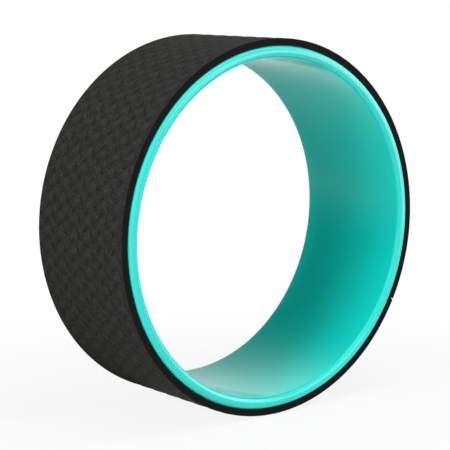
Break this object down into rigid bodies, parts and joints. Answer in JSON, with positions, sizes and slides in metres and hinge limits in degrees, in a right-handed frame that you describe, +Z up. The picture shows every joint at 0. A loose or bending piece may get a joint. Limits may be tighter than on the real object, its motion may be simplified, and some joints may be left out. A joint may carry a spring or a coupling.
{
  "type": "yoga wheel",
  "caption": "Upright yoga wheel: a hollow glossy ABS hoop with rounded lips and a matt embossed foam tread strip bonded round its outside, for back stretches and balance work.",
  "frame": {"origin": "the wheel's centre, on its axis, midway between its two lips", "axes": "+Y along the wheel's axis towards the rear lip, +Z up, +X to the right seen from the front; the wheel stands on its tread, 165 mm below the origin"},
  "size_m": [0.33, 0.127, 0.33],
  "materials": {
    "hoop_abs": "moulded high-gloss ABS, turquoise",
    "adhesive": "double-sided acrylic film, hidden under the tread",
    "tread_foam": "matt black TPE foam, embossed outer face, smooth cut edges"
  },
  "bodies": {
    "root": {"inner_shell": "hoop_abs", "outer_drum": "hoop_abs", "adhesive_film": "adhesive", "tread_pad": "tread_foam"}
  },
  "joints": []
}
